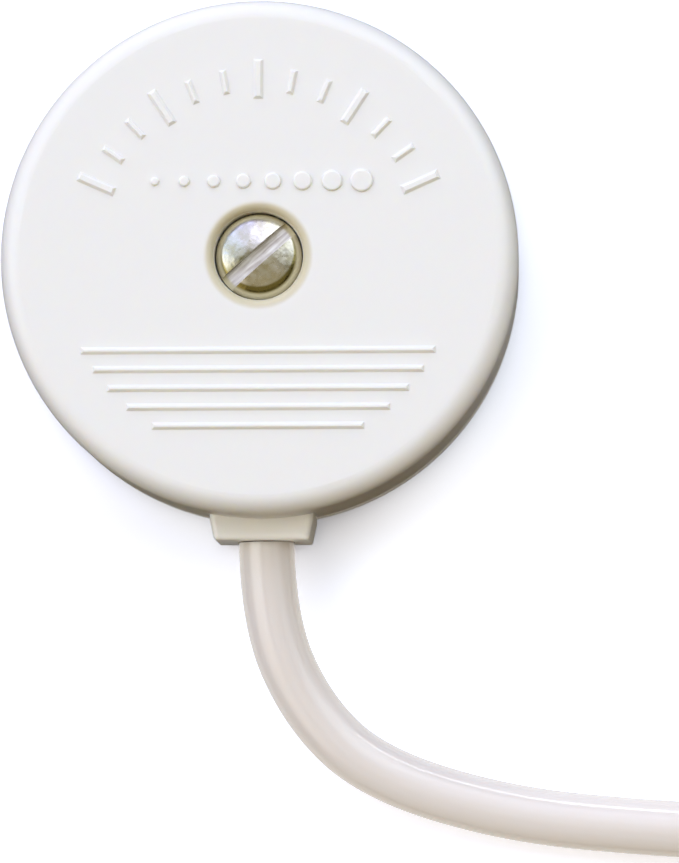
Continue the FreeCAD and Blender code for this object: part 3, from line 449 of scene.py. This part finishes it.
def mesh_piece(name, mesh, material, smooth_below=40):
    """A piece from a bmesh in millimetres, smooth but for its sharp edges."""
    bmesh.ops.recalc_face_normals(mesh, faces=mesh.faces)
    bmesh.ops.scale(mesh, vec=(MM, MM, MM), verts=mesh.verts)
    data = bpy.data.meshes.new(name)
    mesh.to_mesh(data)
    mesh.free()
    data.materials.append(material)
    data.shade_smooth()
    data.set_sharp_from_angle(angle=math.radians(smooth_below))
    piece = bpy.data.objects.new(name, data)
    bpy.context.scene.collection.objects.link(piece)
    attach(piece, "root")
    return piece


def join_rows(mesh, rows, closed=False):
    """Faces between neighbouring rows of points, and over both ends unless they are joined too."""
    rows = [[mesh.verts.new(place) for place in row] for row in rows]
    for row, onward in zip(rows, rows[1:] + (rows[:1] if closed else [])):
        for k in range(len(row)):
            mesh.faces.new((row[k - 1], row[k], onward[k], onward[k - 1]))
    if not closed:
        mesh.faces.new(rows[0])
        mesh.faces.new(rows[-1])


def jacket_mouth(material):
    """The cut end of the jacket, a short open tube with the two wires coming out of it."""
    mesh = bmesh.new()
    outside = LEAD_DIAMETER / 2
    inside = outside - JACKET_WALL
    profile = [
        (outside, JACKET_MOUTH),
        (outside, JACKET_EDGE),
        (outside - JACKET_EDGE, 0),
        (inside + JACKET_EDGE, 0),
        (inside, JACKET_EDGE),
        (inside, JACKET_MOUTH),
    ]
    turns = [2 * math.pi * k / MOUTH_CORNERS for k in range(MOUTH_CORNERS)]
    join_rows(mesh, [
        [(JACKET_END[0] + radius * math.cos(turn), JACKET_END[1] + back,
          LEAD_REST + radius * math.sin(turn)) for turn in turns]
        for radius, back in profile
    ], closed=True)
    return mesh_piece("jacket_mouth", mesh, material)


def strands(route):
    """A stripped end's strands: one straight, the others wound round it."""
    start = Vector(route[-1])
    ahead = (start - Vector(route[-2])).normalized()
    turned = ahead.to_track_quat("Z", "Y").to_matrix()
    thickness = TIP_DIAMETER / 3
    lines = []
    for k in range(STRANDS_ROUND + 1):
        away = thickness if k < STRANDS_ROUND else 0
        line = []
        for step in range(STRAND_STEPS + 1):
            along = TIP_LENGTH * step / STRAND_STEPS
            turn = 2 * math.pi * (k / STRANDS_ROUND + along / STRAND_LAY)
            line.append(start + turned @ Vector((away * math.cos(turn), away * math.sin(turn), along)))
        lines.append(line)
    return lines


def strap_line():
    """The strap's middle line round the bundle, with the way outwards at each point."""
    middle_out = (COIL_INNER + COIL_OUTER) / 2
    middle_up = LEAD_REST + TIE_LIFT + LEAD_DIAMETER / 2
    half = (COIL_OUTER - COIL_INNER) / 2
    bend = LEAD_DIAMETER / 2 + STRAP_THICKNESS / 2
    line = []
    for quarter, (side, level) in enumerate(((1, 1), (-1, 1), (-1, -1), (1, -1))):
        for step in range(STRAP_BENDS + 1):
            turn = math.pi / 2 * (quarter + step / STRAP_BENDS)
            way = (math.cos(turn), math.sin(turn))
            line.append(((middle_out + side * half + bend * way[0],
                          middle_up + level * half + bend * way[1]), way))
    return line


def coil_tie(material):
    """A nylon tie round the bundle: the strap, its head on the outside and the strap's cut end."""
    mesh = bmesh.new()
    wide, thick, edge = STRAP_WIDTH / 2, STRAP_THICKNESS / 2, STRAP_EDGE
    section = [
        (wide, edge - thick), (wide, thick - edge), (wide - edge, thick), (edge - wide, thick),
        (-wide, thick - edge), (-wide, edge - thick), (edge - wide, -thick), (wide - edge, -thick),
    ]
    rows = [
        [(out + depth * way[0], side, up + depth * way[1]) for side, depth in section]
        for (out, up), way in strap_line()
    ]
    join_rows(mesh, rows, closed=True)

    # The head, with the slot that the strap runs through
    deep, broad, tall = TIE_HEAD
    back = max(out for (out, up), way in strap_line()) + thick
    middle = LEAD_REST + TIE_LIFT + LEAD_DIAMETER / 2
    front = back + deep
    floor_out = front - TIE_SLOT_DEPTH
    loops = [(back, broad, tall), (front, broad, tall), (front, *TIE_SLOT), (floor_out, *TIE_SLOT)]
    before = set(mesh.verts)
    join_rows(mesh, [
        [(out, side * width / 2, middle + level * height / 2)
         for side, level in ((1, 1), (-1, 1), (-1, -1), (1, -1))]
        for out, width, height in loops
    ])
    head_edges = [line for line in mesh.edges if line.verts[0] not in before]
    bmesh.ops.bevel(mesh, geom=head_edges, offset=TIE_HEAD_EDGE, segments=3, affect="EDGES", profile=0.5)

    # The strap's cut end, toothed on its inner side
    teeth = int((TIE_SLOT_DEPTH + STRAP_TAIL) / TOOTH)
    join_rows(mesh, [
        [(floor_out + TOOTH * k, side, middle + depth * (1 if depth > 0 or k % 2 else TOOTH_ROOT))
         for side, depth in section]
        for k in range(teeth + 1)
    ])
    spot = Matrix.Translation((*COIL_MIDDLE, 0)) @ Matrix.Rotation(math.radians(TIE_ANGLE), 4, "Z")
    bmesh.ops.transform(mesh, matrix=spot, verts=mesh.verts)
    return mesh_piece("coil_tie_strap", mesh, material)


def camera():
    lens = bpy.data.cameras.new("camera")
    lens.sensor_fit = "VERTICAL"
    lens.sensor_height = SENSOR_HEIGHT
    lens.lens = FOCAL_PIXELS * SENSOR_HEIGHT / FRAME_HEIGHT
    lens.clip_start = 0.01
    view = bpy.data.objects.new("camera", lens)
    view.location = Vector(CAMERA_PLACE) * MM
    view.rotation_euler = CAMERA_TURN
    bpy.context.scene.collection.objects.link(view)
    bpy.context.scene.camera = view


def stage_only(piece):
    """For the eye alone: the floor and the backdrop light nothing."""
    piece.visible_diffuse = False
    piece.visible_glossy = False
    piece.visible_transmission = False
    piece.visible_shadow = False


def floor():
    material = new_material("floor")
    tree = material.node_tree
    matt = add(tree, "ShaderNodeBsdfDiffuse", inputs={"Color": FLOOR_WHITE})
    glow = add(tree, "ShaderNodeEmission", inputs={"Color": FLOOR_GLOW, "Strength": 1.0})
    both = add(tree, "ShaderNodeAddShader", inputs={
        0: matt.outputs["BSDF"], 1: glow.outputs["Emission"]})
    add(tree, "ShaderNodeOutputMaterial", inputs={"Surface": both.outputs["Shader"]})
    bpy.ops.mesh.primitive_plane_add(size=FLOOR_SIZE)
    piece = bpy.context.object
    piece.name = "floor"
    piece.data.materials.append(material)
    stage_only(piece)


def backdrop():
    material = new_material("backdrop")
    tree = material.node_tree
    glow = add(tree, "ShaderNodeEmission", inputs={"Color": linear("#F7F7F7"), "Strength": 1.0})
    add(tree, "ShaderNodeOutputMaterial", inputs={"Surface": glow.outputs["Emission"]})
    bpy.ops.mesh.primitive_uv_sphere_add(radius=BACKDROP_RADIUS, segments=48, ring_count=24)
    piece = bpy.context.object
    piece.name = "backdrop"
    piece.data.materials.append(material)
    stage_only(piece)


def toward(tilt, turn):
    """The direction at that tilt from overhead and that turn from +X, in degrees."""
    tilt, turn = math.radians(tilt), math.radians(turn)
    return Vector((math.sin(tilt) * math.cos(turn), math.sin(tilt) * math.sin(turn), math.cos(tilt)))


def sky():
    """The sum of the soft glows, each brightest at its middle and gone at its reach."""
    world = bpy.data.worlds.new("studio")
    bpy.context.scene.world = world
    world.use_nodes = True
    tree = world.node_tree
    tree.nodes.clear()
    way = add(tree, "ShaderNodeTexCoord").outputs["Generated"]
    total = (0, 0, 0)
    for tilt, turn, reach, light in SKY_GLOWS:
        facing = add(tree, "ShaderNodeVectorMath", {"operation": "DOT_PRODUCT"}, {
            0: way, 1: toward(tilt, turn)})
        share = add(tree, "ShaderNodeMapRange", {"interpolation_type": "SMOOTHSTEP"}, {
            "Value": facing.outputs["Value"],
            "From Min": math.cos(math.radians(reach)), "From Max": 1.0})
        total = add(tree, "ShaderNodeVectorMath", {"operation": "MULTIPLY_ADD"}, {
            0: share.outputs["Result"], 1: light, 2: total}).outputs["Vector"]
    glow = add(tree, "ShaderNodeBackground", inputs={"Color": total, "Strength": 1.0})
    add(tree, "ShaderNodeOutputWorld", inputs={"Surface": glow.outputs["Background"]})


def lamp(name, setting, lit=None):
    """A flat soft lamp that looks at the sensor, and lights everything or only the given pieces."""
    tilt, turn, wide, high, light = setting
    glow = bpy.data.lights.new(name, "AREA")
    glow.shape = "RECTANGLE"
    glow.size = wide
    glow.size_y = high
    glow.energy = math.pi * wide * high * max(light)
    glow.color = [part / max(light) for part in light]
    box = bpy.data.objects.new(name, glow)
    box.location = toward(tilt, turn) * LAMP_DISTANCE
    box.rotation_euler = (-toward(tilt, turn)).to_track_quat("-Z", "Y").to_euler()
    box.visible_camera = False
    bpy.context.scene.collection.objects.link(box)
    if lit:
        only = bpy.data.collections.new(name)
        for piece in lit:
            only.objects.link(piece)
        box.light_linking.receiver_collection = only


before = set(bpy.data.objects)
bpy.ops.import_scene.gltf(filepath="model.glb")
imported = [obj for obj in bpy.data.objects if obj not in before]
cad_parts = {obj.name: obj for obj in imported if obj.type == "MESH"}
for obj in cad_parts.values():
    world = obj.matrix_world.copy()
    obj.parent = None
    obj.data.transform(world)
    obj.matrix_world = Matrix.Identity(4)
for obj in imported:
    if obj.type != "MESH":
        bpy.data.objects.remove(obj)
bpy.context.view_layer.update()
camera()
floor()
backdrop()
bpy.context.scene.view_settings.view_transform = "Standard"
sky()

jacket = soft_pvc("soft_pvc_jacket", "#DDD6D0")
red_pvc = soft_pvc("soft_pvc_red", "#A3171B")
black_pvc = soft_pvc("soft_pvc_black", "#17171A")
tie_nylon = nylon()
copper = bare_copper()
finishes = {
    moulded_abs(): ["cover", "base"],
    zinc_steel(): ["cover_screw", "board_screws"],
    turned_brass(): ["threaded_insert", "leaf_rivets", "inertia_weight"],
    foam_tape(): ["adhesive_pad"],
    phenolic_board(): ["contact_board", "leaf_spacer"],
    phosphor_bronze(): ["leaf_clamp", "contact_leaf", "fixed_strip"],
    tinned_metal(): ["moving_contact", "fixed_contact", "terminal_pins", "solder_joints"],
    jacket: ["jacket_end"],
    red_pvc: ["inner_wire_red"],
    black_pvc: ["inner_wire_black"],
    tie_nylon: ["inner_cable_tie"],
}
for material, names in finishes.items():
    for name in names:
        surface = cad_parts[name].data.materials
        surface.clear()
        surface.append(material)

lead = spline_piece("lead", [LEAD_ROUTE + coil_points()], LEAD_DIAMETER, jacket)
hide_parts("lead_cable", "lead_coil")
mouth = jacket_mouth(jacket)
tie = coil_tie(tie_nylon)
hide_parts("coil_tie")
red_tail = spline_piece("red_tail", [RED_ROUTE], WIRE_DIAMETER, red_pvc)
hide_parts("tail_red")
black_tail = spline_piece("black_tail", [BLACK_ROUTE], WIRE_DIAMETER, black_pvc)
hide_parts("tail_black")
tips = spline_piece("copper_tips", strands(RED_ROUTE) + strands(BLACK_ROUTE), TIP_DIAMETER / 3, copper,
                    roundness=3, steps=2)
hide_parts("tail_tips")

lead_pieces = [lead, mouth, tie, red_tail, black_tail, tips]
lamp("lamp_behind", LAMP_BEHIND)
lamp("line_lamp", LINE_LAMP, lead_pieces)
lamp("glint_lamp", GLINT_LAMP, [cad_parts["cover_screw"]])
lamp("lamp_below", LAMP_BELOW, lead_pieces)
lamp("lamp_in_front", LAMP_IN_FRONT, lead_pieces + [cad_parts["base"]])
lamp("lamp_beside", LAMP_BESIDE, lead_pieces)
